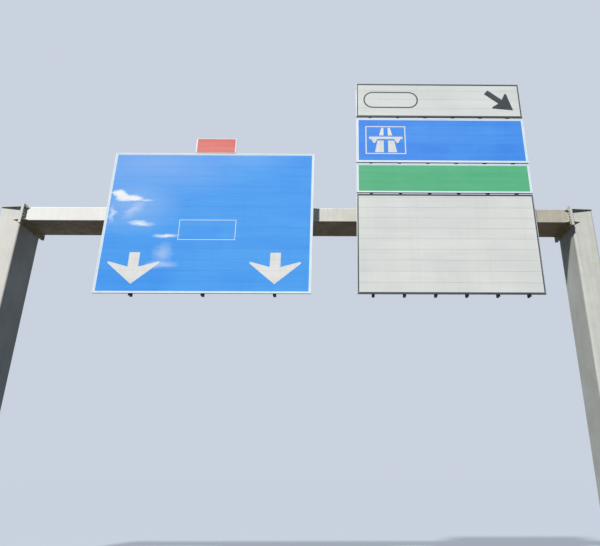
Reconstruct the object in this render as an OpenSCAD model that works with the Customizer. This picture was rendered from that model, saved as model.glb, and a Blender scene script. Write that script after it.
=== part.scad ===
// Overhead sign gantry: a box-section beam bolted between two box-section posts,
// with rails clamped to the beam that carry signs built of extruded planks.
// X runs across the carriageway, Y away from the reader of the signs, Z up from the ground.

/* [Posts] */
// Clear width of the carriageway between the posts' inner faces
clear_span = 13200; // [11000:50:18000]
// Width of a post, across the carriageway
post_w = 530; // [360:10:600]
// Depth of the posts and of the beam, along the carriageway
frame_d = 860; // [640:10:1100]
// Wall of a post
post_wall = 12; // [8:1:20]
// Outer radius of a post's folded corners
post_corner_r = 45; // [30:5:70]

/* [Beam] */
// Height of the beam's underside above the ground
beam_bottom_z = 7530; // [6500:10:9000]
// Height of the beam's section
beam_h = 360; // [280:10:500]
// Wall of the beam
beam_wall = 10; // [6:1:15]
// Outer radius of the beam's folded corners
beam_corner_r = 16; // [16:1:50]

/* [Bolted joints] */
// Thickness of each of the two flanges at a joint
flange_t = 30; // [20:2:45]
// Reach of the flanges in front of and behind the beam
flange_reach = 105; // [80:5:160]
// Reach of the flanges above the beam
flange_above = 45; // [20:5:90]
// Reach of the flanges below the beam
flange_below = 100; // [95:5:160]
// Length along the beam of the gussets beside it
beam_gusset_l = 100; // [80:10:300]
// Length along the post of the gussets beside it
post_gusset_l = 200; // [100:10:300]
// Reach of the gussets and of the cap plates along the flanges, past the beam's front and back faces
gusset_reach = 55; // [30:5:80]
// Thickness of the gussets and of the cap plates
gusset_t = 15; // [10:1:25]
// Diameter of the bolt holes in the flanges
flange_hole_d = 27; // [22:1:33]
// Bolts between the gussets, at the front of the flanges and again at the back
side_bolts = 4; // [2:1:4]
// Reach of a cap plate past the post's front and back faces at its outer end
cap_reach = 15; // [10:5:60]

/* [Base] */
// Thickness of a base plate
base_t = 40; // [25:5:60]
// Reach of a base plate past the post's inner and outer faces
base_reach_x = 150; // [130:10:220]
// Reach of a base plate past the post's front and back faces
base_reach_y = 200; // [150:10:300]
// Diameter of an anchor hole
anchor_hole_d = 48; // [30:2:60]
// Distance of the anchor holes from the plate's edges
anchor_inset = 75; // [60:5:80]
// Height of the foot ribs
rib_h = 240; // [120:10:400]
// Thickness of the foot ribs
rib_t = 15; // [10:1:20]
// Distance that the foot ribs stop short of the plate's edge
rib_edge = 20; // [10:5:40]
// Height of a foot rib's blunt outer end
rib_toe = 30; // [20:5:60]

/* [Sign planks] */
// Distance from the beam's front face to the front of the signs
sign_standoff = 300; // [260:10:420]
// Height of the signs' lower edge above the ground
sign_bottom_z = 5620; // [5000:10:6400]
// Height of one extruded plank
plank_h = 267; // [200:1:350]
// Depth of a plank from its face to its rear lips
plank_d = 40; // [30:1:55]
// Wall of a plank
plank_wall = 3; // [2:0.5:4]
// Height of a plank's rear lips
plank_lip = 14; // [8:1:25]
// Height of the skirt that covers the tongue of the plank below
plank_skirt = 12; // [8:1:20]
// Joint between two planks, and between the planks and their edging
plank_joint = 0.6; // [0.4:0.1:0.9]
// Chamfer along the upper and lower edge of a plank's face
plank_chamfer = 1.8; // [0.4:0.1:1.8]
// Wall of the edging round a sign
edging_wall = 3; // [2:0.5:5]
// Width of the edging's lip over the sign's face
edging_lip = 25; // [15:1:40]

/* [Rails] */
// Width of a rail's flanges
rail_w = 64; // [46:2:90]
// Depth of a rail
rail_d = 100; // [80:5:140]
// Thickness of a rail's flanges
rail_flange_t = 7; // [5:0.5:10]
// Thickness of a rail's web
rail_web_t = 5; // [4:0.5:8]
// Root radius between a rail's web and flanges
rail_root_r = 8; // [4:0.5:12]
// Length of the rails' ends below the signs
rail_drop = 45; // [30:5:150]
// Distance that the rails stop below the top of what they carry
rail_top_inset = 60; // [30:5:120]

/* [Clamps] */
// Width of a clamp
clamp_w = 130; // [120:5:180]
// Thickness of a clamp's plates
clamp_t = 15; // [10:1:25]
// Diameter of a clamp's tie rods
rod_d = 24; // [16:2:30]
// Distance between the tie rods side by side
rod_spacing = 80; // [70:5:90]
// Clearance between the tie rods and the beam
rod_clearance = 4; // [2:1:10]
// Clearance round a tie rod in its hole
rod_hole_clearance = 0.6; // [0.3:0.1:0.9]
// Reach of a clamp's plates past its tie rods
clamp_reach = 36; // [30:2:60]
// Length of the tie rods' threaded ends outside the plates
rod_end = 45; // [30:5:80]
// Height of a clamp's bracket at the rail
bracket_h = 240; // [160:10:300]
// Height of the bracket at the beam
bracket_root_h = 330; // [200:10:360]
// Distance between the bracket's two cheeks, from middle to middle
cheek_spacing = 44; // [36:2:48]
// Thickness of the cheeks
cheek_t = 8; // [6:1:10]
// Diameter of the holes for the bolts that clip a rail to its bracket
clip_hole_d = 14; // [10:1:16]
// Distance of the clip bolts from the rail's edges
clip_gap = 4; // [2:1:8]
// Distance of the clip bolts from the upper and lower edge of the bracket's pad
clip_inset = 35; // [25:5:60]

/* [Lane sign] */
// Width of the lane sign
lane_sign_w = 4850; // [3600:10:5400]
// Height of the lane sign
lane_sign_h = 3600; // [2800:10:4400]
// Centre of the lane sign, left of the middle of the span
lane_sign_offset = 2045; // [2000:5:2500]
// Distance of the outer rails from the lane sign's sides
lane_rail_inset = 820; // [400:10:1000]
// Width of the route plate above the lane sign
route_w = 990; // [600:10:1400]
// Height of the route plate
route_h = 410; // [250:10:600]
// Gap between the lane sign and the route plate
route_gap = 15; // [5:1:60]
// Sheet of the route plate
route_sheet = 3; // [2:0.5:5]

/* [Sign stack] */
// Width of the four stacked signs
stack_w = 4225; // [3000:5:4800]
// Centre of the stack, right of the middle of the span
stack_offset = 3515; // [3000:5:3600]
// Gap between two signs of the stack
stack_gap = 45; // [30:5:120]
// Height of the local sign, the lowest
local_h = 2500; // [1600:10:3200]
// Height of the green sign
green_h = 790; // [500:10:1200]
// Height of the motorway sign
motorway_h = 1285; // [800:5:1800]
// Height of the exit sign, the highest
exit_h = 1020; // [600:10:1400]
// Distance of the outer rails from the stack's sides
stack_rail_inset = 360; // [200:10:500]

/* [Hidden] */
$fn = 48;
left = -1;
right = 1;
lane_rails = 3;
stack_rails = 6;
shallowest_top_plank = 0.25;
over = 1;

steel = [0.80, 0.79, 0.76];
dark_steel = [0.36, 0.38, 0.40];
alloy = [0.86, 0.87, 0.87];
blue = [0.30, 0.58, 0.92];
green = [0.33, 0.72, 0.50];
white = [0.89, 0.90, 0.88];
red = [0.86, 0.43, 0.40];

post_x = clear_span/2 + post_w/2;
beam_top_z = beam_bottom_z + beam_h;
cap_z = beam_top_z - gusset_t;
flange_d = frame_d + 2*flange_reach;
gusset_z = beam_bottom_z + beam_corner_r;
upper_gusset_z = cap_z - beam_corner_r;
cap_inner_y = frame_d/2 + gusset_reach;
cap_outer_y = frame_d/2 + cap_reach;
beam_l = clear_span - 4*flange_t;

base_w = post_w + 2*base_reach_x;
base_d = frame_d + 2*base_reach_y;
side_rib_y = frame_d/2 - post_corner_r - rib_t;
face_rib_x = post_w/2 - post_corner_r - rib_t;
anchor_x = base_w/2 - anchor_inset;
outer_anchor_y = base_d/2 - anchor_inset;
inner_anchor_y = side_rib_y/2;

clamp_half_h = beam_h/2 + rod_clearance + rod_d + clamp_reach;
rod_z = beam_h/2 + rod_clearance + rod_d/2;
clip_x = rail_w/2 + clip_gap + clip_hole_d/2;

side_bolt_y = frame_d/2 + flange_reach/2;
low_bolt_z = (beam_bottom_z - flange_below + gusset_z)/2;
side_bolt_pitch = (upper_gusset_z - gusset_z - gusset_t)/side_bolts;

// The gantry's box is centred on the origin, so the beam's middle lies behind it
front_reach = max(frame_d/2 + sign_standoff, base_d/2);
back_reach = max(frame_d/2 + clamp_t + rod_end, base_d/2);
beam_y = (front_reach - back_reach)/2;
beam_front_y = beam_y - frame_d/2;
sign_y = beam_front_y - sign_standoff;
rail_y = sign_y + edging_wall + plank_d;
rail_back_y = rail_y + rail_d;

lane_sign_x = -lane_sign_offset;
lane_sign_top_z = sign_bottom_z + lane_sign_h;
route_z = lane_sign_top_z + route_gap;
lane_rail_pitch = (lane_sign_w - 2*lane_rail_inset)/(lane_rails - 1);

green_z = sign_bottom_z + local_h + stack_gap;
motorway_z = green_z + green_h + stack_gap;
exit_z = motorway_z + motorway_h + stack_gap;
stack_top_z = exit_z + exit_h;
stack_rail_pitch = (stack_w - 2*stack_rail_inset)/(stack_rails - 1);

SIDES = ["left", "right"];

// Places a piece drawn for the right-hand end of the gantry at either end
module at_end(side) {
    mirror([side == left ? 1 : 0, 0, 0])
        children();
}

// Rounded rectangle centred on the origin
module rounded_rect(w, h, r) {
    square([w - 2*r, h], center = true);
    square([w, h - 2*r], center = true);
    for (x = [-1, 1])
        for (y = [-1, 1])
            translate([x*(w/2 - r), y*(h/2 - r)])
                circle(r);
}

// Section of a folded box tube
module tube_section(w, h, r, wall) {
    difference() {
        rounded_rect(w, h, r);
        rounded_rect(w - 2*wall, h - 2*wall, r - wall);
    }
}

module base_plate(side) {
    color(steel)
        at_end(side)
            difference() {
                translate([post_x - base_w/2, beam_y - base_d/2, 0])
                    cube([base_w, base_d, base_t]);
                for (x = [-1, 1])
                    for (y = [-outer_anchor_y, -inner_anchor_y, inner_anchor_y, outer_anchor_y])
                        translate([post_x + x*anchor_x, beam_y + y, -over])
                            cylinder(d = anchor_hole_d, h = base_t + 2*over);
            }
}

// Upright triangular rib that runs outwards along +X, with a blunt toe
module rib(reach) {
    rotate([90, 0, 0])
        linear_extrude(rib_t, center = true)
            polygon([[0, 0], [reach, 0], [reach, rib_toe], [rib_t, rib_h], [0, rib_h]]);
}

module foot_ribs(side) {
    color(steel)
        at_end(side)
            translate([post_x, beam_y, base_t]) {
                for (a = [0, 180])
                    rotate([0, 0, a])
                        for (y = [-side_rib_y, 0, side_rib_y])
                            translate([post_w/2, y, 0])
                                rib(base_reach_x - rib_edge);
                for (a = [90, 270])
                    rotate([0, 0, a])
                        for (y = [-face_rib_x, face_rib_x])
                            translate([frame_d/2, y, 0])
                                rib(base_reach_y - rib_edge);
            }
}

module post(side) {
    color(steel)
        at_end(side)
            translate([post_x, beam_y, base_t])
                linear_extrude(cap_z - base_t)
                    tube_section(post_w, frame_d, post_corner_r, post_wall);
}

// Plate that closes a post level with the beam's top and tapers towards its outer end
module post_cap(side) {
    color(steel)
        at_end(side)
            translate([clear_span/2, beam_y, cap_z])
                linear_extrude(gusset_t)
                    polygon([[0, -cap_inner_y], [post_w, -cap_outer_y], [post_w, cap_outer_y], [0, cap_inner_y]]);
}

// Middles of a flange's bolt holes in Y and Z: in front of and behind the beam, a column between the
// gussets and one bolt below them. None lies over the post's inner wall, where no nut could be reached.
function flange_bolts() = concat(
    [for (s = [-1, 1]) for (i = [0:side_bolts - 1])
        [s*side_bolt_y, gusset_z + gusset_t + (i + 0.5)*side_bolt_pitch]],
    [for (s = [-1, 1]) [s*side_bolt_y, low_bolt_z]]
);

// Upright end plate whose face towards the middle of the span is at x
module end_plate(side, x) {
    color(steel)
        at_end(side)
            difference() {
                translate([x, beam_y - flange_d/2, beam_bottom_z - flange_below])
                    cube([flange_t, flange_d, flange_below + beam_h + flange_above]);
                for (b = flange_bolts())
                    translate([x - over, beam_y + b[0], b[1]])
                        rotate([0, 90, 0])
                            cylinder(d = flange_hole_d, h = flange_t + 2*over);
            }
}

module post_flange(side) {
    end_plate(side, clear_span/2 - flange_t);
}

module beam_flange(side) {
    end_plate(side, clear_span/2 - 2*flange_t);
}

// Flat triangle in front of or behind the section, from the flange outwards by l
module gusset(l) {
    linear_extrude(gusset_t)
        polygon([[0, 0], [l, 0], [0, gusset_reach]]);
}

module flange_gussets(side) {
    color(steel)
        at_end(side)
            translate([0, beam_y, 0])
                for (a = [0, 1])
                    mirror([0, a, 0]) {
                        translate([clear_span/2, frame_d/2, gusset_z])
                            gusset(post_gusset_l);
                        for (z = [gusset_z, upper_gusset_z])
                            translate([beam_l/2, frame_d/2, z])
                                mirror([1, 0, 0])
                                    gusset(beam_gusset_l);
                    }
}

module beam() {
    color(steel)
        translate([-beam_l/2, beam_y, beam_bottom_z + beam_h/2])
            rotate([90, 0, 90])
                linear_extrude(beam_l)
                    tube_section(frame_d, beam_h, beam_corner_r, beam_wall);
}

// Quarter of a rail's section between the middle of its web and the middle of one flange
module rail_quarter() {
    square([rail_web_t/2, rail_d/2]);
    square([rail_w/2, rail_flange_t]);
    translate([rail_web_t/2, rail_flange_t])
        difference() {
            square(rail_root_r);
            translate([rail_root_r, rail_root_r])
                circle(rail_root_r);
        }
}

// Rolled I-profile standing at x from the rails' lower ends up to top_z
module rail(x, top_z) {
    bottom_z = sign_bottom_z - rail_drop;
    color(dark_steel)
        translate([x, rail_y + rail_d/2, bottom_z])
            linear_extrude(top_z - rail_top_inset - bottom_z)
                for (a = [0, 1])
                    for (b = [0, 1])
                        mirror([a, 0])
                            mirror([0, b])
                                translate([0, -rail_d/2])
                                    rail_quarter();
}

// Upright plate of a clamp with the four holes for its tie rods
module clamp_plate() {
    difference() {
        translate([-clamp_w/2, 0, -clamp_half_h])
            cube([clamp_w, clamp_t, 2*clamp_half_h]);
        for (x = [-rod_spacing/2, rod_spacing/2])
            for (z = [-rod_z, rod_z])
                translate([x, -over, z])
                    rotate([-90, 0, 0])
                        cylinder(d = rod_d + 2*rod_hole_clearance, h = clamp_t + 2*over);
    }
}

// Bracket in front of a clamp's front plate: two cheeks and the pad that meets the rail
module bracket(l) {
    difference() {
        translate([-clamp_w/2, 0, -bracket_h/2])
            cube([clamp_w, clamp_t, bracket_h]);
        for (x = [-clip_x, clip_x])
            for (z = [clip_inset - bracket_h/2, bracket_h/2 - clip_inset])
                translate([x, -over, z])
                    rotate([-90, 0, 0])
                        cylinder(d = clip_hole_d, h = clamp_t + 2*over);
    }
    for (x = [-cheek_spacing/2, cheek_spacing/2])
        translate([x - cheek_t/2, 0, 0])
            rotate([90, 0, 90])
                linear_extrude(cheek_t)
                    polygon([[0, -bracket_h/2], [l, -bracket_root_h/2], [l, bracket_root_h/2], [0, bracket_h/2]]);
}

// Clamp round the beam behind the rail at x: a plate and bracket in front, a plate behind,
// and four tie rods that draw them together
module clamp(x) {
    front_y = beam_front_y - clamp_t;
    color(dark_steel)
        translate([x, 0, beam_bottom_z + beam_h/2]) {
            translate([0, front_y, 0])
                clamp_plate();
            translate([0, rail_back_y, 0])
                bracket(front_y - rail_back_y);
            translate([0, beam_front_y + frame_d, 0])
                clamp_plate();
            for (s = [-1, 1])
                for (z = [-rod_z, rod_z])
                    translate([s*rod_spacing/2, front_y - rod_end, z])
                        rotate([-90, 0, 0])
                            cylinder(d = rod_d, h = frame_d + 2*clamp_t + 2*rod_end);
        }
}

// Section of a plank, with its face at y = 0 and its lower edge at z = 0: a channel with
// rear lips, a skirt below and, unless it is the top one, a tongue that hides behind the next skirt
module plank_section(h, tongue) {
    difference() {
        polygon([[0, plank_chamfer], [plank_chamfer, 0], [plank_wall, 0], [plank_wall, plank_skirt],
                 [plank_d, plank_skirt], [plank_d, h], [plank_chamfer, h], [0, h - plank_chamfer]]);
        translate([plank_wall, plank_skirt + plank_wall])
            square([plank_d - 2*plank_wall, h - plank_skirt - 2*plank_wall]);
        translate([plank_wall, plank_skirt + plank_lip])
            square([plank_d, h - plank_skirt - 2*plank_lip]);
    }
    if (tongue)
        translate([plank_wall + plank_joint, h - plank_wall])
            square([plank_wall, plank_wall + plank_skirt - plank_joint]);
}

// Planks of a sign w wide and h high, centred at x, with its lower edge at z.
// The planks are whole but for the top one, which takes up the rest of the height.
module planks(x, z, w, h) {
    fit_w = w - 2*edging_wall - 2*plank_joint;
    fit_h = h - 2*edging_wall - 2*plank_joint;
    pitch = plank_h + plank_joint;
    whole = max(0, ceil(fit_h/pitch - shallowest_top_plank) - 1);
    top_h = fit_h - whole*pitch;
    translate([x - fit_w/2, sign_y + edging_wall, z + edging_wall + plank_joint])
        for (i = [0:whole])
            translate([0, 0, i*pitch])
                rotate([90, 0, 90])
                    linear_extrude(fit_w)
                        plank_section(i < whole ? plank_h : top_h, i < whole);
}

// Angle bent round the sign's four sides, with its lip over the planks' face
module edging(x, z, w, h) {
    depth = edging_wall + plank_d;
    translate([x - w/2, sign_y, z])
        difference() {
            cube([w, depth, h]);
            translate([edging_wall, edging_wall, edging_wall])
                cube([w - 2*edging_wall, depth, h - 2*edging_wall]);
            translate([edging_lip, -over, edging_lip])
                cube([w - 2*edging_lip, depth, h - 2*edging_lip]);
        }
}

// Folded sheet tray, open at the back, that stands on the middle rail above the lane sign
module route_plate() {
    depth = edging_wall + plank_d;
    color(red)
        translate([lane_sign_x - route_w/2, sign_y, route_z])
            difference() {
                cube([route_w, depth, route_h]);
                translate([route_sheet, route_sheet, route_sheet])
                    cube([route_w - 2*route_sheet, depth, route_h - 2*route_sheet]);
            }
}

module lane_sign_rail(i) {
    middle = i == (lane_rails + 1)/2;
    rail(lane_rail_x(i), middle ? route_z + route_h : lane_sign_top_z);
}

module lane_sign_planks() {
    color(blue)
        planks(lane_sign_x, sign_bottom_z, lane_sign_w, lane_sign_h);
}

module lane_sign_edging() {
    color(alloy)
        edging(lane_sign_x, sign_bottom_z, lane_sign_w, lane_sign_h);
}

module stack_planks(z, h, colour) {
    color(colour)
        planks(stack_offset, z, stack_w, h);
}

module stack_edging(z, h) {
    color(alloy)
        edging(stack_offset, z, stack_w, h);
}

function lane_rail_x(i) = lane_sign_x - lane_sign_w/2 + lane_rail_inset + (i - 1)*lane_rail_pitch;
function stack_rail_x(i) = stack_offset - stack_w/2 + stack_rail_inset + (i - 1)*stack_rail_pitch;

for (side = [left, right]) {
    s = side == left ? "left_" : "right_";
    base_plate(side);
    foot_ribs(side);
    post(side);
    post_cap(side);
    post_flange(side);
    beam_flange(side);
    flange_gussets(side);
}
beam();
for (i = [1:lane_rails]) {
    lane_sign_rail(i);
    clamp(lane_rail_x(i));
}
for (i = [1:stack_rails]) {
    rail(stack_rail_x(i), stack_top_z);
    clamp(stack_rail_x(i));
}
lane_sign_planks();
lane_sign_edging();
route_plate();
stack_planks(sign_bottom_z, local_h, white);  // local_sign_planks
stack_edging(sign_bottom_z, local_h);  // local_sign_edging
stack_planks(green_z, green_h, green);  // green_sign_planks
stack_edging(green_z, green_h);  // green_sign_edging
stack_planks(motorway_z, motorway_h, blue);  // motorway_sign_planks
stack_edging(motorway_z, motorway_h);  // motorway_sign_edging
stack_planks(exit_z, exit_h, white);  // exit_sign_planks
stack_edging(exit_z, exit_h);  // exit_sign_edging
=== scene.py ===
"""Overhead sign gantry: films, symbols, bolts, clips, welds and finishes on its fixed frame.

All sizes are in metres. X runs along the beam, Y from the signs' faces to the back and Z up from
the base plates.
"""

import math
import random

import bmesh
import bpy
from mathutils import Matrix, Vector


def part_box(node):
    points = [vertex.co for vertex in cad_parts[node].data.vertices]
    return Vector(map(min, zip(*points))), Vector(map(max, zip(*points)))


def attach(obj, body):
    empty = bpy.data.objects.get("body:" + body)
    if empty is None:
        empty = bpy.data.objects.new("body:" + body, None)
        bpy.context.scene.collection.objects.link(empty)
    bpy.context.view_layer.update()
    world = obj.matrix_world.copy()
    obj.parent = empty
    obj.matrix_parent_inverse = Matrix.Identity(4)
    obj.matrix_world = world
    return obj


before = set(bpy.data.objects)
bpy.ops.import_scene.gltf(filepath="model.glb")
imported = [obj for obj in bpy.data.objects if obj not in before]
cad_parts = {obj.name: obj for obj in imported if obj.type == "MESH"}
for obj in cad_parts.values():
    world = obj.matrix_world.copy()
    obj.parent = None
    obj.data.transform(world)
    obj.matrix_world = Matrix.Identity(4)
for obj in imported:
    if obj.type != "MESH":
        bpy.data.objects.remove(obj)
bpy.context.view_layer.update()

random.seed(7)

# Camera, light and stage

PALE = "#C9D2DE"                # floor and backdrop to the eye
KEY = 5.44
KEY_SPREAD = 4
KEY_TURN = math.radians(24)     # how far the key lamp stands to the left of the camera
KEY_RISE = math.radians(56.5)   # how high it stands
BACK = 1.4
BACK_SPREAD = 8
FILL = 0.15
FLOOR_RADIUS = 90
FLOOR_DROP = 0.002              # how far the floor lies below the base plates
GLOW = 0.7
GLOW_SHARE = 0.74               # share of the floor's tone that no shadow darkens


def linear(hex_colour):
    """sRGB hex to the linear colour that a shader takes."""
    channels = [int(hex_colour[i:i + 2], 16) / 255 for i in (1, 3, 5)]
    return [c / 12.92 if c <= 0.04045 else ((c + 0.055) / 1.055) ** 2.4 for c in channels] + [1]


def emptied(holder):
    """Node tree of a world or a material, without its first nodes."""
    holder.use_nodes = True
    holder.node_tree.nodes.clear()
    return holder.node_tree


def add(tree, kind, values):
    """Adds a node and returns its outputs. values are its properties, its sockets' numbers or the
    sockets of other nodes that its own are joined to."""
    node = tree.nodes.new("ShaderNode" + kind)
    for name, value in values.items():
        if isinstance(value, bpy.types.NodeSocket):
            tree.links.new(value, node.inputs[name])
        elif isinstance(name, str) and name in node.bl_rna.properties:
            setattr(node, name, value)
        else:
            node.inputs[name].default_value = value
    return node.outputs


def maths(tree, operation, *values, clamp=False):
    """Result of an operation on numbers or sockets."""
    return add(tree, "Math", {"operation": operation, "use_clamp": clamp, **dict(enumerate(values))})[0]


def spread(tree, value, start, stop, least=0.0, most=1.0):
    """Runs from least to most while a value runs from start to stop, and goes no further."""
    return add(tree, "MapRange", {"Value": value, "From Min": start, "From Max": stop,
                                  "To Min": least, "To Max": most})[0]


def noise(tree, place, scale, detail, roughness=0.5, output=0):
    """Noise of one scale, or of three along the axes, which stretch it."""
    if isinstance(scale, tuple):
        place, scale = add(tree, "Mapping", {"Scale": scale, "Vector": place})[0], 1.0
    return add(tree, "TexNoise", {"Scale": scale, "Detail": detail, "Roughness": roughness,
                                  "Vector": place})[output]


def tint(tree, share, base, other):
    """Mixes two colours, hex or socket: a share of the other over the base."""
    base, other = [linear(colour) if isinstance(colour, str) else colour for colour in (base, other)]
    return add(tree, "Mix", {"data_type": "RGBA", 0: share, 6: base, 7: other})[2]


def mixed(tree, share, base, other):
    """Mixes two shaders: a share of the other and the rest of the base."""
    return add(tree, "MixShader", {0: share, 1: base, 2: other})[0]


def stand_camera():
    """Low in front of the gantry, right of its middle and tilted up to the signs."""
    camera = bpy.data.objects.new("camera", bpy.data.cameras.new("camera"))
    bpy.context.scene.collection.objects.link(camera)
    camera.data.sensor_width = 36
    camera.data.lens = 31.63
    camera.data.shift_x = -0.080
    camera.data.clip_end = 500
    camera.location = (1.084, -11.812, 1.990)
    camera.rotation_euler = (math.radians(90 + 20.30), 0, math.radians(-0.586))
    bpy.context.scene.camera = camera


def seen_by_eye(tree):
    """1 for what the camera sees, straight or in a gloss or a glass, and 0 for light on its way."""
    ray = add(tree, "LightPath", {})
    straight = maths(tree, "MAXIMUM", ray["Is Camera Ray"], ray["Is Glossy Ray"])
    return maths(tree, "MAXIMUM", straight, ray["Is Transmission Ray"])


def sun(name, energy, spread_angle, towards, colour):
    """A lamp as far as the sun, in the direction given from the gantry, with its spread in degrees."""
    lamp = bpy.data.objects.new(name, bpy.data.lights.new(name, "SUN"))
    bpy.context.scene.collection.objects.link(lamp)
    lamp.data.energy = energy
    lamp.data.angle = math.radians(spread_angle)
    lamp.data.color = colour
    lamp.rotation_euler = Vector(towards).to_track_quat("Z", "Y").to_euler()


def light_stage():
    """A soft key lamp from the upper left of the camera, a weaker one behind, and a pale stage."""
    scene = bpy.context.scene
    scene.view_settings.view_transform = "Standard"
    towards_key = (-math.sin(KEY_TURN), -math.cos(KEY_TURN), math.tan(KEY_RISE))
    sun("key_light", KEY, KEY_SPREAD, towards_key, (1.0, 0.985, 0.955))
    sun("back_light", BACK, BACK_SPREAD, (0, 1, 1.1), (1.0, 1.0, 1.0))

    world = bpy.data.worlds.new("studio")
    scene.world = world
    tree = emptied(world)
    fill = add(tree, "Background", {"Color": linear("#A0CEFF"), "Strength": FILL})[0]
    backdrop = add(tree, "Background", {"Color": linear(PALE), "Strength": 1.0})[0]
    add(tree, "OutputWorld", {"Surface": mixed(tree, seen_by_eye(tree), fill, backdrop)})

    # The floor is as pale as the backdrop to the eye and keeps a soft shadow, but it throws little
    # light back up, so that the undersides stay dark
    bpy.ops.object.select_all(action="DESELECT")
    bpy.ops.mesh.primitive_circle_add(vertices=64, radius=FLOOR_RADIUS, fill_type="NGON",
                                      location=(0, 0, -FLOOR_DROP))
    floor = bpy.context.active_object
    floor.name = "floor"
    bpy.ops.object.transform_apply(location=True, rotation=True, scale=True)
    paint = bpy.data.materials.new("pale_floor")
    tree = emptied(paint)
    bounce = add(tree, "BsdfDiffuse", {"Color": linear("#35342D")})[0]
    matt = add(tree, "BsdfDiffuse", {"Color": linear(PALE)})[0]
    glow = add(tree, "Emission", {"Color": linear(PALE), "Strength": GLOW})[0]
    even = mixed(tree, GLOW_SHARE, matt, glow)
    add(tree, "OutputMaterial", {"Surface": mixed(tree, seen_by_eye(tree), bounce, even)})
    floor.data.materials.append(paint)


# Finishes

TONES_FROM, TONES_TO = -6.5, 6.5   # in X, where the steel has its left and its right tones
# Dust on what faces up, and painted shade that keeps the brightly lit tops from clipping to white
DUST_AND_TOP_SHADE = "#8E897E"


def new_finish(name):
    """An empty material: returns it, its tree and the coordinates in it."""
    finish = bpy.data.materials.new(name)
    tree = emptied(finish)
    return finish, tree, add(tree, "TexCoord", {})["Object"]


def shaded(finish, values):
    """Gives a material its shader with these values."""
    shader = add(finish.node_tree, "BsdfPrincipled", values)[0]
    add(finish.node_tree, "OutputMaterial", {"Surface": shader})
    return finish


def bumped(tree, strength, distance, height, **normal):
    """Normal of a bumpy face, on top of another normal if one is given."""
    return add(tree, "Bump", {"Strength": strength, "Distance": distance, "Height": height, **normal})[0]


def galvanised_steel(name, left_tones, right_tones, soil, metallic, sheltered=None):
    """Hot-dip galvanised steel, weathered: dull zinc with its spangle, rain streaks and soil.
    The eye sees a pale, slightly mottled grey that darkens and browns where rain never reaches,
    and a film of dust on what faces up, which is also painted shade on the brightly lit tops. Zinc and
    patina change from left_tones at the left end to right_tones at the right; where the two differ,
    this change is partly painted light and shade. Below a given height, faces that look along X are
    darkened too, partly by soil and partly as painted shade."""
    finish, tree, place = new_finish(name)
    at = add(tree, "SeparateXYZ", {0: place})
    across = spread(tree, at[0], TONES_FROM, TONES_TO)
    # Spangle: real crystals are 10 to 15 mm wide, drawn 45 mm wide so that they show
    spangle = add(tree, "TexVoronoi", {"Scale": 22.0, "Vector": place})["Color"]
    crystals = spread(tree, add(tree, "SeparateColor", {0: spangle})[0], 0, 1, -0.11, 0.11)
    patches = noise(tree, place, 1.4, 4.0, 0.6)
    mottle = maths(tree, "ADD", spread(tree, patches, 0.3, 0.7), crystals)
    # Rain streaks: 60 mm wide and about 2 m long
    streaks = spread(tree, noise(tree, place, (16, 16, 0.5), 3.0, 0.65), 0.35, 0.75, -0.2, 0.45)
    dulled = maths(tree, "ADD", mottle, streaks, clamp=True)
    # The tones change along X; where left and right differ, this is partly painted light and shade
    zinc, patina = [tint(tree, across, left, right) for left, right in zip(left_tones, right_tones)]
    colour = tint(tree, dulled, zinc, patina)
    # Dust lies on what faces up, where it is also painted shade on the brightly lit tops, mud splashes the
    # lowest metre, and soil clings to what faces down
    normal = add(tree, "SeparateXYZ", {0: add(tree, "NewGeometry", {})["Normal"]})
    level = spread(tree, normal[2], 0.5, 0.9, most=0.95)
    splashed = spread(tree, at[2], 1.1, 0.0, most=0.45)
    soil_and_painted_shade = spread(tree, normal[2], -0.55, -0.95)
    # Below that height, faces that look along X, such as the flanges' faces under the beam, take the soil
    # colour, partly as soil and partly as painted shade
    if sheltered is not None:
        sideways = maths(tree, "ABSOLUTE", normal[0])
        below = spread(tree, at[2], sheltered + 0.03, sheltered - 0.02, most=0.85)
        soil_and_painted_shade = maths(tree, "MAXIMUM", soil_and_painted_shade, maths(tree, "MULTIPLY", sideways, below))
    grime = spread(tree, noise(tree, place, 5.0, 5.0, 0.7), 0.3, 0.65, 0.6, 1.0)
    for share, cover in ((level, DUST_AND_TOP_SHADE), (splashed, "#857F73"), (soil_and_painted_shade, soil)):
        colour = tint(tree, maths(tree, "MULTIPLY", share, grime), colour, cover)
    # The zinc's own orange peel, about 5 mm, and the plates' slight unevenness
    peel = bumped(tree, 0.25, 0.0004, noise(tree, place, 190.0, 2.0))
    wavy = bumped(tree, 0.35, 0.006, patches, Normal=peel)
    return shaded(finish, {"Base Color": colour, "Roughness": spread(tree, dulled, 0, 1, 0.50, 0.68),
                           "Metallic": metallic, "Specular IOR Level": 0.2, "Normal": wavy})


def mill_aluminium():
    """Extruded aluminium left as it came from the die: die lines along the plank, dulled by weather."""
    finish, tree, place = new_finish("mill_aluminium")
    # Die lines: under 1 mm apart, drawn 6 mm apart so that they show
    lines = noise(tree, place, (1.2, 160, 160), 3.0, 0.6)
    clouds = noise(tree, place, 2.2, 4.0, 0.6)
    worn = spread(tree, maths(tree, "MULTIPLY_ADD", lines, 0.45, clouds), 0.45, 0.95)
    metal = tint(tree, worn, "#D3D6D6", "#A9AEB0")
    # Dust lies on top and is also painted shade on the brightly lit tops; underneath, a dark grey is partly
    # grime, where rain doesn't wash it off, and partly painted shade
    facing = add(tree, "SeparateXYZ", {0: add(tree, "NewGeometry", {})["Normal"]})[2]
    dusty_and_shaded_top = tint(tree, spread(tree, facing, 0.5, 0.9, most=0.7), metal, DUST_AND_TOP_SHADE)
    colour = tint(tree, spread(tree, facing, -0.5, -0.9, most=0.9), dusty_and_shaded_top, "#3C3B37")
    return shaded(finish, {"Base Color": colour, "Roughness": spread(tree, clouds, 0, 1, 0.42, 0.58),
                           "Metallic": 0.75, "Normal": bumped(tree, 0.2, 0.0003, lines)})


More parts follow.
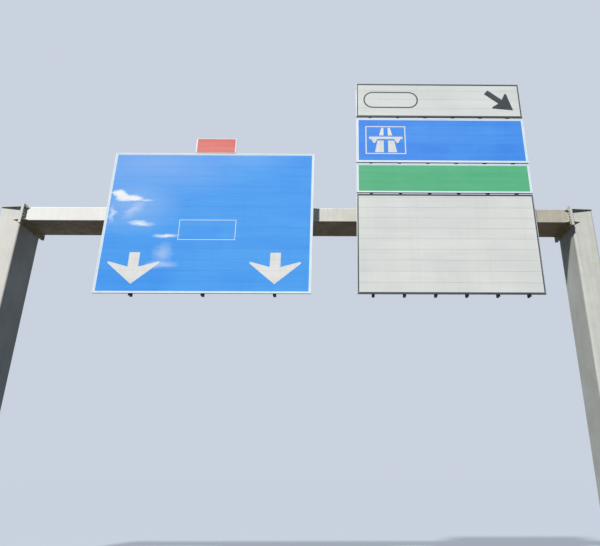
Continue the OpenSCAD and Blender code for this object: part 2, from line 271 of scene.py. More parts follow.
def reflective_film(name, colour, faded, soil, joint_soil, first_joint, pale_patches=()):
    """Glass-bead reflective film, laid plank by plank: a colour whose clear face has gone matt,
    clouded by years of sun, with each plank a little off the next, faint streaks of wiping and rain,
    and soil in the joints, of which joint_soil is the least and the most."""
    finish, tree, place = new_finish(name)
    height = add(tree, "SeparateXYZ", {0: place})[2]
    course = maths(tree, "MULTIPLY_ADD", height, 1 / PLANK_PITCH, -first_joint / PLANK_PITCH)
    tone = add(tree, "TexWhiteNoise", {"noise_dimensions": "1D", "W": maths(tree, "FLOOR", course)})[0]
    clouds = noise(tree, place, 0.9, 4.0, 0.55)
    # Wiping streaks run across the sign, 90 mm high and over a metre long
    wipes = noise(tree, place, (0.8, 1, 11), 3.0, 0.6)
    fading = maths(tree, "MULTIPLY_ADD", tone, 0.16, maths(tree, "MULTIPLY_ADD", wipes, 0.6, clouds))
    film = tint(tree, spread(tree, fading, 0.62, 1.12), colour, faded)
    # Soil in the joints between planks: a line 3 mm wide, drawn 12 mm wide so that it shows
    near = spread(tree, maths(tree, "PINGPONG", course, 0.5), 0.032, 0.012)
    held = spread(tree, noise(tree, place, (2.6, 1, 0.4), 4.0, 0.7), 0.3, 0.7, *joint_soil)
    # Rain streaks: 100 mm wide
    run = spread(tree, noise(tree, place, (10, 1, 0.5), 3.0, 0.6), 0.5, 0.8, most=0.08)
    cover = maths(tree, "MAXIMUM", maths(tree, "MULTIPLY", near, held), run)
    surface = tint(tree, cover, film, soil)
    if pale_patches:
        # Pale, whitish places on the film, in smears that run across
        ragged = noise(tree, place, (3, 1, 9), 5.0, 0.65, output="Color")
        shift = add(tree, "VectorMath", {"operation": "MULTIPLY_ADD", 0: ragged,
                                         1: (0.34, 0, 0.22), 2: (-0.17, 0, -0.11)})[0]
        moved = add(tree, "VectorMath", {"operation": "ADD", 0: place, 1: shift})[0]
        paleness = 0.0
        for across, up, half_length, half_height, tilt, strength in pale_patches:
            spot = add(tree, "Mapping", {"vector_type": "TEXTURE", "Location": (across, FILM_FRONT, up),
                                         "Rotation": (0, math.radians(tilt), 0),
                                         "Scale": (half_length, 1, half_height), "Vector": moved})[0]
            ball = add(tree, "TexGradient", {"gradient_type": "SPHERICAL", "Vector": spot})["Fac"]
            paleness = maths(tree, "MAXIMUM", paleness, maths(tree, "MULTIPLY", ball, strength))
        surface = tint(tree, maths(tree, "MINIMUM", paleness, 1.0), surface, "#F3F8FD")
    # The film follows the plank's rolled face, which is a little uneven
    return shaded(finish, {"Base Color": surface, "Roughness": spread(tree, clouds, 0, 1, 0.58, 0.74),
                           "Specular IOR Level": 0.25, "Normal": bumped(tree, 0.3, 0.002, wipes)})


def marking_film(name, colour, faded, roughness):
    """Cut film for borders and symbols: one flat colour, chalked a little in patches and down streaks."""
    finish, tree, place = new_finish(name)
    clouds = noise(tree, place, 2.4, 4.0, 0.6)
    streaks = noise(tree, place, (20, 1, 0.8), 2.0)
    chalked = spread(tree, maths(tree, "MULTIPLY_ADD", streaks, 0.5, clouds), 0.6, 0.95)
    rough = spread(tree, clouds, 0, 1, roughness - 0.06, roughness + 0.08)
    return shaded(finish, {"Base Color": tint(tree, chalked, colour, faded), "Roughness": rough,
                           "Specular IOR Level": 0.3})


# Modelling

def take(*pieces):
    """Selects only these pieces and makes the first the active one."""
    bpy.ops.object.select_all(action="DESELECT")
    for piece in pieces:
        piece.select_set(True)
    bpy.context.view_layer.objects.active = pieces[0]


def settle(piece):
    """Puts a piece's place, turn and size into its mesh."""
    take(piece)
    bpy.ops.object.transform_apply(location=True, rotation=True, scale=True)
    return piece


def close_up(piece):
    """Merges the doubles of a shell and turns its faces outwards."""
    take(piece)
    bpy.ops.object.mode_set(mode="EDIT")
    bpy.ops.mesh.select_all(action="SELECT")
    bpy.ops.mesh.remove_doubles(threshold=0.00001)
    bpy.ops.mesh.normals_make_consistent(inside=False)
    bpy.ops.object.mode_set(mode="OBJECT")
    return piece


def duplicate(piece):
    """Copy of a piece with a mesh of its own."""
    take(piece)
    bpy.ops.object.duplicate(linked=False)
    return bpy.context.active_object


def joined(name, pieces):
    """Joins pieces into one."""
    take(*pieces)
    if len(pieces) > 1:
        bpy.ops.object.join()
    piece = bpy.context.active_object
    piece.name = name
    return piece


def mirrored_pair(name, piece):
    """Joins a piece with its mirror image across X."""
    other = duplicate(piece)
    other.scale = (-1, 1, 1)
    return joined(name, [piece, close_up(settle(other))])


def laid_out(name, model, places):
    """Copies a model, which it uses up, to each (place, turn in degrees) and joins the copies."""
    copies = []
    for place, turn in places:
        piece = duplicate(model)
        piece.rotation_euler = [math.radians(angle) for angle in turn]
        piece.location = place
        copies.append(settle(piece))
    bpy.data.objects.remove(model)
    return joined(name, copies)


def add_line(curve, points, closed):
    """Adds a line through (x, y, z) points to a curve and returns its points."""
    spline = curve.splines.new("POLY")
    spline.points.add(len(points) - 1)
    for point, place in zip(spline.points, points):
        point.co = (*place, 1)
    spline.use_cyclic_u = closed
    return spline.points


def as_mesh(curve):
    """Piece with the mesh that a curve makes."""
    piece = bpy.data.objects.new(curve.name, curve)
    bpy.context.scene.collection.objects.link(piece)
    take(piece)
    bpy.ops.object.convert(target="MESH")
    return bpy.context.active_object


def outline_mesh(loops, thickness):
    """Flat plate cut to closed outlines in X and Y, centred on z = 0. Inner loops are holes."""
    curve = bpy.data.curves.new("outline", "CURVE")
    curve.dimensions = "2D"
    curve.fill_mode = "BOTH"
    curve.extrude = thickness / 2
    for loop in loops:
        add_line(curve, [(across, up, 0) for across, up in loop], closed=True)
    return close_up(as_mesh(curve))


def turned(profile, steps=18, ring=False):
    """Piece turned about Z from (radius, height) points. A ring's profile closes on itself."""
    curve = bpy.data.curves.new("profile", "CURVE")
    curve.dimensions = "3D"
    add_line(curve, [(radius, 0, height) for radius, height in profile], closed=ring)
    piece = as_mesh(curve)
    bpy.ops.object.mode_set(mode="EDIT")
    bpy.ops.mesh.select_all(action="SELECT")
    bpy.ops.mesh.spin(steps=steps, angle=math.tau, center=(0, 0, 0), axis=(0, 0, 1))
    bpy.ops.object.mode_set(mode="OBJECT")
    return close_up(piece)


def hexagon(across_flats, bottom, top):
    """Hexagon of a nut or bolt head about Z, with both rims chamfered."""
    bpy.ops.object.select_all(action="DESELECT")
    bpy.ops.mesh.primitive_cylinder_add(vertices=6, radius=across_flats / math.sqrt(3), depth=top - bottom,
                                        location=(0, 0, (top + bottom) / 2))
    piece = settle(bpy.context.active_object)
    bpy.ops.object.mode_set(mode="EDIT")
    bpy.context.tool_settings.mesh_select_mode = (False, True, False)
    bpy.ops.mesh.select_all(action="DESELECT")
    mesh = bmesh.from_edit_mesh(piece.data)
    for edge in mesh.edges:
        edge.select = abs(edge.verts[0].co.z - edge.verts[1].co.z) < 1e-6
    mesh.select_flush_mode()
    bmesh.update_edit_mesh(piece.data)
    bpy.ops.mesh.bevel(offset=across_flats * 0.05, segments=1, affect="EDGES")
    bpy.ops.object.mode_set(mode="OBJECT")
    return piece


def washer(bore, outside, bottom, top):
    """Washer about Z with its outer rim broken."""
    rim = (top - bottom) * 0.25
    return turned([(bore / 2, bottom), (outside / 2 - rim, bottom), (outside / 2, bottom + rim),
                   (outside / 2, top - rim), (outside / 2 - rim, top), (bore / 2, top)], steps=20, ring=True)


def threaded(diameter, pitch, bottom, thread_from, top):
    """Round bar about Z whose upper end is threaded and chamfered."""
    crest, root = diameter / 2, diameter / 2 - 0.6 * pitch
    profile = [(0, bottom), (crest, bottom), (crest, thread_from)]
    height = thread_from
    while height + 1.5 * pitch < top:
        profile += [(root, height + pitch / 2), (crest, height + pitch)]
        height += pitch
    return turned(profile + [(root, top), (0, top)], steps=14)


def dress(piece, name, finish, smooth=True):
    """Names a finished piece, gives it its finish and lets it ride on the gantry."""
    take(piece)
    if smooth:
        bpy.ops.object.shade_smooth_by_angle(angle=math.radians(32))
    piece.name = name
    piece.data.name = name
    piece.data.materials.clear()
    piece.data.materials.append(finish)
    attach(piece, "root")


# Signs

PLANK_H = 0.267
PLANK_PITCH = 0.2676
PLANK_INSET = 0.0036      # edging wall and joint round the planks
TOP_PLANK_MOST = 1.25     # the tallest top plank, in pitches
LIP = 0.025               # width of the edging's lip over the sign's face
FILM = 0.0005             # thickness of the film on the planks
CUT = 0.0004              # thickness of the cut film on top of it
FILM_GAP = 0.001          # room left where a film meets an edge
PLANK_FACE = -0.677
FILM_FRONT = PLANK_FACE - FILM


def plank_spans(sign):
    """Lower and upper edge of each plank of a sign."""
    low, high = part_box(sign + "_edging")
    bottom, top = low.z + PLANK_INSET, high.z - PLANK_INSET
    spans = []
    while top - bottom > TOP_PLANK_MOST * PLANK_PITCH:
        spans.append((bottom, bottom + PLANK_H))
        bottom += PLANK_PITCH
    return spans + [(bottom, top)]


def cut_at_joints(piece, spans, gap=0.0004):
    """Cuts film at the plank joints, into a closed strip for each plank that it crosses."""
    strips = []
    for bottom, top in spans:
        strip = duplicate(piece)
        bpy.ops.object.mode_set(mode="EDIT")
        for edge, below in ((bottom + gap, True), (top - gap, False)):
            bpy.ops.mesh.select_all(action="SELECT")
            bpy.ops.mesh.bisect(plane_co=(0, 0, edge), plane_no=(0, 0, 1), use_fill=True,
                                clear_inner=below, clear_outer=not below)
        bpy.ops.object.mode_set(mode="OBJECT")
        if len(strip.data.polygons):
            strips.append(close_up(strip))
        else:
            bpy.data.objects.remove(strip)
    bpy.data.objects.remove(piece)
    return joined("film", strips)


def on_sign(sign, loops, back_y, thickness):
    """Film cut to outlines given as (across, up) from the sign's lower left corner."""
    low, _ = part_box(sign)
    piece = outline_mesh(loops, thickness)
    piece.rotation_euler = (math.radians(90), 0, 0)
    piece.location = (low.x, back_y - thickness / 2, low.z)
    return settle(piece)


def rectangle(left, bottom, right, top, radius=0.0, steps=5):
    """Outline of a rectangle, with rounded corners if a radius is given."""
    if not radius:
        return [(left, bottom), (right, bottom), (right, top), (left, top)]
    corners = [(right - radius, bottom + radius, -90), (right - radius, top - radius, 0),
               (left + radius, top - radius, 90), (left + radius, bottom + radius, 180)]
    return [(x + radius * math.cos(math.radians(start + 90 * i / steps)),
             y + radius * math.sin(math.radians(start + 90 * i / steps)))
            for x, y, start in corners for i in range(steps + 1)]


def ring(left, bottom, right, top, width, radius=0.0, height=None):
    """Two outlines of a border inside a rectangle. Its upper and lower runs may have their own height."""
    height = height or width
    return [rectangle(left, bottom, right, top, radius),
            rectangle(left + width, bottom + height, right - width, top - height, max(0.0, radius - width))]


def arrow(tip, direction, length, shaft, notch, barb_back, barb_out):
    """Outline of an arrow whose slender, blunt barbs sweep back. direction is in degrees from +X."""
    along = (math.cos(math.radians(direction)), math.sin(math.radians(direction)))
    side = (-along[1], along[0])
    half = [(-length, shaft / 2), (-notch, shaft / 2), (-barb_back, barb_out - 0.016),
            (-barb_back + 0.008, barb_out + 0.004), (-barb_back + 0.034, barb_out + 0.012)]
    points = half + [(0, 0)] + [(a, -b) for a, b in reversed(half)]
    return [(tip[0] + a * along[0] + b * side[0], tip[1] + a * along[1] + b * side[1]) for a, b in points]


def film_sheet(sign, finish):
    """Film over all the planks inside the edging's lips."""
    low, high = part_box(sign + "_edging")
    wide, tall = high.x - low.x - 2 * LIP - FILM_GAP, high.z - low.z - 2 * LIP - FILM_GAP
    bpy.ops.object.select_all(action="DESELECT")
    bpy.ops.mesh.primitive_plane_add(size=1, rotation=(math.radians(90), 0, 0),
                                     location=((low.x + high.x) / 2, PLANK_FACE, (low.z + high.z) / 2))
    sheet = bpy.context.active_object
    sheet.scale = (wide, tall, 1)
    settle(sheet)
    bpy.ops.object.mode_set(mode="EDIT")
    bpy.ops.mesh.select_all(action="SELECT")
    bpy.ops.mesh.extrude_region_move(TRANSFORM_OT_translate={"value": (0, -FILM, 0)})
    bpy.ops.object.mode_set(mode="OBJECT")
    sheet = cut_at_joints(close_up(sheet), plank_spans(sign))
    dress(sheet, sign + "_film", finish, smooth=False)


def cut_film(sign, part, loops, finish):
    """Cut film on the planks of a sign, one piece from any number of shapes."""
    shapes = [on_sign(sign + "_edging", shape, FILM_FRONT, CUT) for shape in loops]
    piece = cut_at_joints(joined("cut", shapes), plank_spans(sign))
    dress(piece, sign + "_" + part, finish, smooth=False)


def lip_film(sign, edge, finish):
    """Film on the edging's lips. On the upright ones it starts at that distance from the sign's edge."""
    low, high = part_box(sign + "_edging")
    wide, tall = high.x - low.x, high.z - low.z
    strip = [rectangle(edge, FILM_GAP, wide - edge, tall - FILM_GAP, 0.006),
             rectangle(LIP - FILM_GAP, LIP - FILM_GAP, wide - LIP + FILM_GAP, tall - LIP + FILM_GAP)]
    piece = on_sign(sign + "_edging", strip, low.y, CUT)
    dress(piece, sign + "_lip_film", finish, smooth=False)


def border(sign, width, height):
    """Outlines of a border on the planks, from the lips inwards. width and height are measured from
    the sign's edge."""
    low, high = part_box(sign + "_edging")
    start = LIP + FILM_GAP
    return ring(start, start, high.x - low.x - start, high.z - low.z - start,
                width - start, radius=0.02, height=height - start)


def dress_signs(white_cut, arrow_white, black_cut):
    """Films, borders and symbols of the five signs."""
    x0, _, z0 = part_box("lane_sign_edging")[0]
    # Pale places, from the sign's lower left corner: centre, half length, half height, tilt, strength.
    # The first nine are smears, and the rest are wide, faint veils.
    pale_patches = [(x0 + across, z0 + up, *shape) for across, up, *shape in (
        (0.30, 2.44, 0.24, 0.17, 25, 2.2), (0.55, 2.36, 0.36, 0.11, 3, 1.7),
        (0.86, 2.31, 0.30, 0.055, 5, 0.8), (0.14, 1.95, 0.12, 0.28, 0, 0.7),
        (0.86, 1.71, 0.38, 0.085, 6, 0.95), (0.64, 2.06, 0.50, 0.24, -42, 0.46),
        (1.50, 1.38, 0.32, 0.07, -4, 1.1), (1.46, 0.96, 0.28, 0.32, 0, 0.34),
        (1.47, 0.68, 0.42, 0.11, 0, 0.40), (0.60, 2.25, 1.30, 0.90, 0, 0.20),
        (0.90, 3.30, 2.70, 1.00, 0, 0.16), (3.00, 3.50, 1.60, 0.50, 0, 0.10))]
    faint, plain = (0.0, 0.04), (0.10, 0.40)
    films = {
        "lane_sign": ("blue_reflective_film", "#3D97F2", "#4EA5F6", "#4683CC", faint, "blue_film"),
        "motorway_sign": ("deep_blue_reflective_film", "#3B89EF", "#4D9CF4", "#3F74C0", faint, "blue_film"),
        "green_sign": ("green_reflective_film", "#53B37F", "#62BC8F", "#52976F", faint, "green_film"),
        "local_sign": ("white_reflective_film", "#E4E6E3", "#D8DBD9", "#A19D92", plain, "white_film"),
        "exit_sign": ("aged_white_reflective_film", "#E2E5E3", "#D6DAD8", "#A19D92", plain, "white_film")}
    for sign, (name, colour, faded, soil, joint_soil, slot) in films.items():
        finish = reflective_film(name, colour, faded, soil, joint_soil, plank_spans(sign)[0][0],
                                 pale_patches if sign == "lane_sign" else ())
        film_sheet(sign, finish)

    borders = {"lane_sign": (0.001, 0.060, 0.048), "motorway_sign": (0.001, 0.060, 0.056),
               "green_sign": (0.001, 0.055, 0.042), "local_sign": (0.014, 0.045, 0.042),
               "exit_sign": (0.014, 0.047, 0.042)}
    for sign, (edge, width, height) in borders.items():
        cut, slot = (white_cut, "white_film") if edge < 0.005 else (black_cut, "black_film")
        lip_film(sign, edge, cut)
        cut_film(sign, "border", [border(sign, width, height)], cut)

    down = [[arrow(tip=(x, 0.215), direction=-90, length=0.76, shaft=0.24, notch=0.410,
                   barb_back=0.535, barb_out=0.575)] for x in (0.82, 4.02)]
    cut_film("lane_sign", "arrows", down, arrow_white)
    box = ring(left=1.745, bottom=1.29, right=3.065, top=1.80, width=0.013)
    cut_film("lane_sign", "box", [box], white_cut)
    out = arrow(tip=(4.010, 0.22), direction=-40.4, length=0.860, shaft=0.16, notch=0.410,
                barb_back=0.460, barb_out=0.285)
    cut_film("exit_sign", "arrow", [[out]], black_cut)
    oval = ring(left=0.19, bottom=0.27, right=1.59, top=0.77, width=0.036, radius=0.24)
    cut_film("exit_sign", "oval", [oval], black_cut)
    # The motorway symbol: two lanes below a bridge and two above it, in a thin frame
    lanes = [[[(0.463, 0.285), (0.682, 0.285), (0.682, 0.622), (0.527, 0.622)]],
             [[(0.788, 0.285), (1.007, 0.285), (0.943, 0.622), (0.788, 0.622)]],
             [[(0.569, 0.771), (0.682, 0.771), (0.682, 1.000), (0.630, 1.000)]],
             [[(0.788, 0.771), (0.901, 0.771), (0.840, 1.000), (0.788, 1.000)]],
             [[(0.320, 0.668), (0.372, 0.668), (0.425, 0.555), (0.470, 0.555), (0.522, 0.668),
               (0.948, 0.668), (1.000, 0.555), (1.045, 0.555), (1.098, 0.668), (1.150, 0.668),
               (1.150, 0.735), (0.320, 0.735)]]]
    frame_line = ring(left=0.23, bottom=0.235, right=1.23, top=1.045, width=0.026)
    cut_film("motorway_sign", "symbol", lanes + [frame_line], arrow_white)


def dress_route_plate(white_cut, aluminium, fixings):
    """Faded red film and its white border on the tray's face, and the bars that hold it at the back."""
    low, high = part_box("route_plate")
    wide, tall = high.x - low.x, high.z - low.z
    red = reflective_film("faded_red_reflective_film", "#DE6A62", "#E98F86", "#B4655E", (0, 0), low.z - 0.1)
    face_inset, edge_inset = 0.002, 0.004
    sheet = rectangle(face_inset, face_inset, wide - face_inset, tall - face_inset, radius=0.008)
    face = on_sign("route_plate", [sheet], low.y, FILM)
    dress(face, "route_plate_film", red, smooth=False)
    rim = ring(edge_inset, edge_inset, wide - edge_inset, tall - edge_inset,
               width=0.026, radius=0.02, height=0.007)
    edge = on_sign("route_plate", rim, low.y - FILM, CUT)
    dress(edge, "route_plate_border", white_cut, smooth=False)

    # Two top-hat bars from side to side of the tray, each clipped to the rail behind it
    rail_low, rail_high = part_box("lane_sign_rail_2")
    middle = (rail_low.x + rail_high.x) / 2
    hat = [(-0.036, 0), (-0.016, 0), (-0.016, 0.037), (0.016, 0.037), (0.016, 0), (0.036, 0),
           (0.036, 0.003), (0.019, 0.003), (0.019, 0.040), (-0.019, 0.040), (-0.019, 0.003),
           (-0.036, 0.003)]
    bar = outline_mesh([hat], wide - 0.008)
    bar.rotation_euler = (0, math.radians(90), 0)
    bar.location = (0, low.y + 0.003, 0)
    heights = (low.z + 0.075, rail_high.z - 0.055)
    bars = laid_out("bars", settle(bar), [((middle, 0, z), (0, 0, 0)) for z in heights])
    dress(bars, "route_plate_bars", aluminium, smooth=False)
    clip_places = [((middle, rail_low.y, z), (0, 0, 0)) for z in heights]
    clips = laid_out("clips", clip_pair(rail_high.x - middle), clip_places)
    dress(clips, "route_plate_clips", fixings)


# Fixings

BEAM_Z = (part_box("beam")[0].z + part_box("beam")[1].z) / 2
GUSSET_T = 0.015
FLANGE_BOLTS = 4                 # between the gussets, in front of and behind the beam
CLAMP_T = 0.015
ROD_X, ROD_Z = 0.040, 0.196      # places of a clamp's four rods from its middle
JAW_Z = 0.085                    # places of a rail's jaws above and below the beam's middle
CHEEK_X, CHEEK_HALF_T = 0.022, 0.004
ANCHOR_INSET = 0.075             # distance of the anchor holes from the base plate's edges
POST_R, BEAM_R = 0.045, 0.016    # outer radius of the posts' and the beam's corners
RIB_T = 0.015


def middle_x(node):
    """Middle of a node in X."""
    low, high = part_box(node)
    return (low.x + high.x) / 2


def bolt_set(size, pitch, head, nut, washer_d, grip, end):
    """Bolt about Z: its head stands on z = 0 downwards, and washer, nut and threaded end lie above grip."""
    flats, head_h = head
    thick = size * 0.14
    bar = threaded(size, pitch, -thick, grip + thick + nut - 2 * pitch, grip + thick + nut + end)
    return joined("bolt", [
        hexagon(flats, -thick - head_h, -thick), washer(size * 1.06, washer_d, -thick, 0), bar,
        washer(size * 1.06, washer_d, grip, grip + thick), hexagon(flats, grip + thick, grip + thick + nut)])


def flange_bolts(finish):
    """Bolts through the two flanges at either end of the beam, with their nuts on the post's side.
    In front of and behind the beam, four stand between the gussets and one below them."""
    for side, name in ((-1, "left"), (1, "right")):
        beam_low, beam_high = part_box("beam")
        low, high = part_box(name + "_beam_flange")
        gusset_low, gusset_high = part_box(name + "_flange_gussets")
        clear = gusset_high.z - gusset_low.z - 2 * GUSSET_T
        heights = [(low.z + gusset_low.z) / 2]
        heights += [gusset_low.z + GUSSET_T + clear * (i + 0.5) / FLANGE_BOLTS for i in range(FLANGE_BOLTS)]
        bolt = bolt_set(size=0.024, pitch=0.003, head=(0.036, 0.015), nut=0.0195, washer_d=0.044,
                        grip=0.060, end=0.010)
        places = [((side * beam_high.x, y, z), (0, side * 90, 0))
                  for y in ((beam_low.y + low.y) / 2, (beam_high.y + high.y) / 2) for z in heights]
        dress(laid_out("bolts", bolt, places), name + "_flange_bolts", finish)


def anchor_bolts(finish):
    """Studs that stand in the base plates' holes, each with a washer, a nut and a lock nut."""
    for name in ("left", "right"):
        low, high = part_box(name + "_base_plate")
        stud = joined("stud", [
            threaded(diameter=0.042, pitch=0.0045, bottom=0.003, thread_from=high.z, top=0.150),
            washer(bore=0.045, outside=0.085, bottom=high.z, top=0.048),
            hexagon(across_flats=0.065, bottom=0.048, top=0.082),
            hexagon(across_flats=0.065, bottom=0.083, top=0.104)])
        middle, outer_y = (low.y + high.y) / 2, (high.y - low.y) / 2 - ANCHOR_INSET
        places = [((x, middle + y, 0), (0, 0, 15 * i)) for i, (x, y) in enumerate(
            (x, y) for x in (low.x + ANCHOR_INSET, high.x - ANCHOR_INSET)
            for y in (-outer_y, -outer_y / 3, outer_y / 3, outer_y))]
        dress(laid_out("anchors", stud, places), name + "_anchor_bolts", finish)


def rod_nuts(finish, rails, name):
    """Washers, nuts and the threads that show on the clamps' tie rods."""
    root, crest_height = 0.0121, 0.0007
    crests = [(root + crest_height * (i % 2), 0.026 + 0.0015 * i) for i in range(12)]
    end = joined("end", [
        washer(bore=0.0250, outside=0.044, bottom=0.0, top=0.004),
        hexagon(across_flats=0.036, bottom=0.004, top=0.0255),
        turned([(root, 0.024)] + crests + [(root, 0.0445)], steps=14)])
    beam_low, beam_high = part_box("beam")
    # Each nut stands at a turn of its own, as the spanner left it
    places = []
    for rail in rails:
        for dx in (-ROD_X, ROD_X):
            for dz in (-ROD_Z, ROD_Z):
                x, z = middle_x(rail) + dx, BEAM_Z + dz
                places.append(((x, beam_low.y - CLAMP_T, z), (90, 17 * len(places), 0)))
                places.append(((x, beam_high.y + CLAMP_T, z), (-90, 23 * len(places), 0)))
    dress(laid_out("nuts", end, places), name + "_rod_nuts", finish)


def rail_jaws(finish, rails, name):
    """Jaws that hold each rail's rear flange on its bracket's pad, each with its bolt."""
    jaw = outline_mesh([[(0.022, -0.007), (0.022, -0.018), (0.062, -0.018), (0.062, 0.0),
                         (0.052, 0.0), (0.052, -0.007)]], thickness=0.036)
    bolt = bolt_set(size=0.012, pitch=0.00175, head=(0.018, 0.0075), nut=0.010, washer_d=0.024,
                    grip=0.033, end=0.006)
    bolt.rotation_euler = (math.radians(-90), 0, 0)
    bolt.location = (0.043, -0.018, 0)
    pair = mirrored_pair("jaws", joined("jaw", [jaw, settle(bolt)]))
    back_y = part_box(rails[0])[1].y
    places = [((middle_x(rail), back_y, BEAM_Z + dz), (0, 0, 0))
              for rail in rails for dz in (-JAW_Z, JAW_Z)]
    dress(laid_out("jaws", pair, places), name + "_rail_jaws", finish)


def clip_pair(reach):
    """Two clips that hook over a rail's front flange, whose edges lie at that reach on either side."""
    clip = outline_mesh([[(0.002, 0.0), (0.038, 0.0), (0.038, 0.005), (0.007, 0.005), (0.007, 0.012),
                          (-0.010, 0.012), (-0.010, 0.007), (0.002, 0.007)]], thickness=0.042)
    head = joined("head", [hexagon(across_flats=0.015, bottom=0.0065, top=0.013),
                           washer(bore=0.009, outside=0.020, bottom=0.005, top=0.0065)])
    head.rotation_euler = (math.radians(-90), 0, 0)
    head.location = (0.023, 0, 0)
    clip = joined("clip", [clip, settle(head)])
    clip.location = (reach, 0, 0)
    return mirrored_pair("clips", settle(clip))


def sign_clips(finish, sign, rails):
    """Clips that hold the planks' lips to every rail, at every joint."""
    spans = plank_spans(sign)
    low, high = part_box(rails[0])
    pair = clip_pair((high.x - low.x) / 2)
    pair.location = (middle_x(rails[0]), low.y, spans[1][0] + 0.006)
    settle(pair)
    pitch = middle_x(rails[1]) - middle_x(rails[0])
    for count, step in ((len(spans) - 1, (0, 0, PLANK_PITCH)), (len(rails), (pitch, 0, 0))):
        if count > 1:
            take(pair)
            bpy.ops.object.modifier_add(type="ARRAY")
            array = pair.modifiers[-1]
            array.count = count
            array.use_relative_offset = False
            array.use_constant_offset = True
            array.constant_offset_displace = step
            bpy.ops.object.modifier_apply(modifier=array.name)
    dress(pair, sign + "_clips", finish)


# Welds

BEAD_R, CLAMP_BEAD_R, SPLICE_BEAD_R = 0.006, 0.004, 0.0075
BEAD_STEP = 0.05                 # length over which a bead's thickness changes
BEAD_SHORT = 0.004               # how far the beads stop short of a gusset's tips
PAD_BEAD, PLATE_BEAD = 0.118, 0.163   # half length of the beads at a bracket's pad and front plate
SPLICE_X = 0.900
SPLICE_SUNK = 0.004              # how deep the middle of the splice's bead lies in the beam


def weld(name, paths, radius, finish):
    """Fillet welds: a slightly uneven bead along each path, half sunk in the steel that it joins."""
    curve = bpy.data.curves.new(name, "CURVE")
    curve.dimensions = "3D"
    curve.bevel_depth = radius
    curve.bevel_resolution = 1
    curve.use_fill_caps = True
    for points, closed in paths:
        ends = list(zip(points, points[1:] + points[:1])) if closed else list(zip(points, points[1:]))
        beads = []
        for start, stop in ends:
            start, stop = Vector(start), Vector(stop)
            count = max(1, round((stop - start).length / BEAD_STEP))
            beads += [start.lerp(stop, i / count) for i in range(count)]
        if not closed:
            beads.append(Vector(points[-1]))
        for point in add_line(curve, beads, closed):
            point.radius = random.uniform(0.85, 1.15)
    dress(close_up(as_mesh(curve)), name, finish)


def round_section(centre, wide, deep, radius, steps=4):
    """Outline of a rounded rectangle about a centre, as (first, second) coordinates."""
    return [(centre[0] + a, centre[1] + b)
            for a, b in rectangle(-wide / 2, -deep / 2, wide / 2, deep / 2, radius, steps)]


def foot_welds(finish):
    """Beads round the foot of each post and along both sides of its ribs."""
    for name in ("left", "right"):
        low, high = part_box(name + "_post")
        x0, y0 = middle_x(name + "_post"), (low.y + high.y) / 2
        half_w, half_d = (high.x - low.x) / 2, (high.y - low.y) / 2
        rib_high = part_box(name + "_foot_ribs")[1]
        rib_top, reach_x, reach_y = rib_high.z, rib_high.x - high.x, rib_high.y - high.y
        side_y, face_x = half_d - POST_R - RIB_T, half_w - POST_R - RIB_T
        paths = [([(x, y, low.z) for x, y in round_section((x0, y0), 2 * half_w, 2 * half_d, POST_R)], True)]
        ribs = [(x0 + s * half_w, y0 + y, s, 0, reach_x) for s in (-1, 1) for y in (-side_y, 0, side_y)]
        ribs += [(x0 + x, y0 + s * half_d, 0, s, reach_y) for s in (-1, 1) for x in (-face_x, face_x)]
        for x, y, out_x, out_y, reach in ribs:
            for face in (-RIB_T / 2, RIB_T / 2):
                a, b = x + abs(out_y) * face, y + abs(out_x) * face
                paths.append(([(a + out_x * reach, b + out_y * reach, low.z), (a, b, low.z),
                               (a, b, rib_top - 0.002)], False))
        weld(name + "_foot_welds", paths, BEAD_R, finish)


def joint_welds(finish):
    """Beads round the beam's ends and splice, along the gussets, and where flange and cap meet the post."""
    low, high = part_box("beam")
    middle, deep, tall = (low.y + high.y) / 2, high.y - low.y, high.z - low.z
    for side, name in ((-1, "left"), (1, "right")):
        post_low, post_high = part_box(name + "_post")
        end, foot = high.x, min(abs(post_low.x), abs(post_high.x))
        outer = foot + post_high.x - post_low.x
        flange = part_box(name + "_post_flange")[0].z
        gusset_low, gusset_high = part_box(name + "_flange_gussets")
        beam_tip, post_tip = sorted((abs(gusset_low.x), abs(gusset_high.x)))
        upper = gusset_high.z - GUSSET_T
        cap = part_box(name + "_post_cap")[0].z
        paths = [([(side * end, y, z) for y, z in round_section((middle, BEAM_Z), deep, tall, BEAM_R)], True)]
        for s in (-1, 1):
            y, edge = middle + s * deep / 2, middle + s * ((gusset_high.y - gusset_low.y) / 2 - BEAD_SHORT)
            for bottom, x, tip in ((gusset_low.z, end, beam_tip + BEAD_SHORT),
                                   (upper, end, beam_tip + BEAD_SHORT),
                                   (gusset_low.z, foot, post_tip - BEAD_SHORT)):
                for z in (bottom, bottom + GUSSET_T):
                    paths.append(([(side * tip, y, z), (side * x, y, z), (side * x, edge, z)], False))
            corner = y - s * POST_R
            paths.append(([(side * foot, corner, flange + 0.002), (side * foot, corner, cap)], False))
            paths.append(([(side * (foot + POST_R), y, cap), (side * (outer - POST_R), y, cap)], False))
        paths.append(([(side * foot, low.y + POST_R, flange), (side * foot, high.y - POST_R, flange)], False))
        weld(name + "_joint_welds", paths, BEAD_R, finish)
    seam = round_section((middle, BEAM_Z), deep - 2 * SPLICE_SUNK, tall - 2 * SPLICE_SUNK,
                         BEAM_R - SPLICE_SUNK)
    weld("beam_splice_weld", [([(SPLICE_X, y, z) for y, z in seam], True)], SPLICE_BEAD_R, finish)


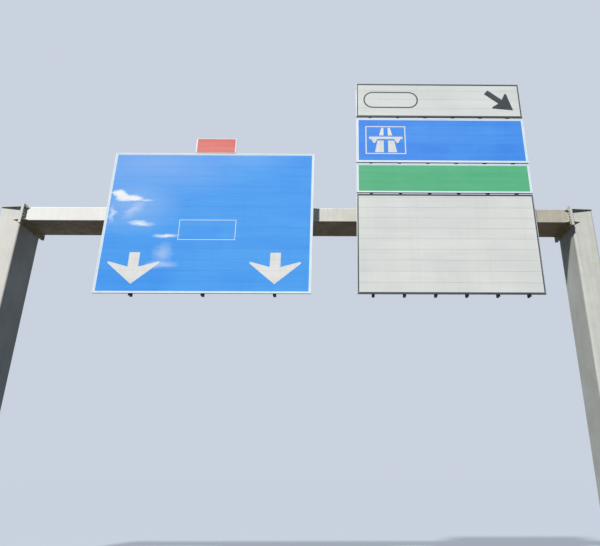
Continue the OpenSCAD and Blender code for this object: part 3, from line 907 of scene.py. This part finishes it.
def clamp_welds(finish, rails, name):
    """Beads along the cheeks of each clamp's bracket, at its pad and at its front plate."""
    pad_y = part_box(rails[0])[1].y + CLAMP_T
    plate_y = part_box("beam")[0].y - CLAMP_T
    paths = []
    for rail in rails:
        for cheek in (-CHEEK_X, CHEEK_X):
            for face in (-CHEEK_HALF_T, CHEEK_HALF_T):
                x = middle_x(rail) + cheek + face
                for y, half in ((pad_y, PAD_BEAD), (plate_y, PLATE_BEAD)):
                    paths.append(([(x, y, BEAM_Z - half), (x, y, BEAM_Z + half)], False))
    weld(name + "_clamp_welds", paths, CLAMP_BEAD_R, finish)


# The gantry

stand_camera()
light_stage()

dark_tones, fixing_tones = ("#6C7175", "#53585C"), ("#A9AAA7", "#85878A")
# The posts' tones fall from the left post to the right one: the right post is painted darker, as painted
# shade
post_tones, post_soil = (("#E3E2DB", "#D4D2CB"), ("#D8DAD4", "#C6C7BE")), "#A0875F"
# The beam's tones run from near white at its left end, which is painted light, to a darker tan at its right
# end, which is staining and painted shade
beam_tones = ("#FAF9F7", "#F1F0EB"), ("#BFBDB1", "#ADA693")
# The flange bolts are painted dark at the left end, as painted shade where the left flange shades them, and
# cream at the right end, as painted light where the key lamp lights the right flange's face
flange_fixing_tones = ("#6E6E68", "#5E5D57"), ("#D8D4C4", "#C8C3B2")
# The posts' steel, with the right post painted darker as painted shade
post_steel = galvanised_steel("galvanised_steel", *post_tones, post_soil, 0.03)
# On the flanges, the faces under the beam are darkened, partly by soil and partly as painted shade
flange_steel = galvanised_steel("soiled_and_shade_painted_galvanised_steel", *post_tones, post_soil, 0.03,
                                sheltered=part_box("beam")[0].z)
# The beam's steel: stains, with painted light and shade in its tones
beam_steel = galvanised_steel("stained_galvanised_steel_with_painted_light", *beam_tones, post_soil, 0.03)
rail_metal = galvanised_steel("dark_galvanised_steel", dark_tones, dark_tones, "#4A453E", 0.3)
fixings = galvanised_steel("galvanised_fixings", fixing_tones, fixing_tones, "#6A6054", 0.5)
# The flange bolts' finish, with painted shade at the left end and painted light at the right
flange_fixings = galvanised_steel("sheltered_galvanised_fixings", *flange_fixing_tones, "#6A6054", 0.1)
aluminium = mill_aluminium()
white_cut = marking_film("white_marking_film", "#E8F5FD", "#DCEBF6", 0.42)
arrow_white = marking_film("chalked_white_marking_film", "#EAEAE8", "#DCDDDC", 0.48)
black_cut = marking_film("black_marking_film", "#343C40", "#454D50", 0.5)

for node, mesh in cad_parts.items():
    if "planks" in node or "edging" in node or node == "route_plate":
        coat = aluminium
    elif "rail" in node or "clamp" in node:
        coat = rail_metal
    elif node == "beam":
        coat = beam_steel
    elif "flange" in node:
        coat = flange_steel
    else:
        coat = post_steel
    for slot in mesh.material_slots:
        slot.material = coat

dress_signs(white_cut, arrow_white, black_cut)
dress_route_plate(white_cut, aluminium, fixings)

LANE_RAILS = [f"lane_sign_rail_{i}" for i in (1, 2, 3)]
STACK_RAILS = [f"stack_rail_{i}" for i in (1, 2, 3, 4, 5, 6)]
flange_bolts(flange_fixings)
anchor_bolts(fixings)
for group, rails in (("lane_sign", LANE_RAILS), ("stack", STACK_RAILS)):
    rod_nuts(fixings, rails, group)
    rail_jaws(rail_metal, rails, group)
    clamp_welds(rail_metal, rails, group)
sign_clips(aluminium, "lane_sign", LANE_RAILS)
for sign in ("local_sign", "green_sign", "motorway_sign", "exit_sign"):
    sign_clips(aluminium, sign, STACK_RAILS)
foot_welds(post_steel)
joint_welds(post_steel)
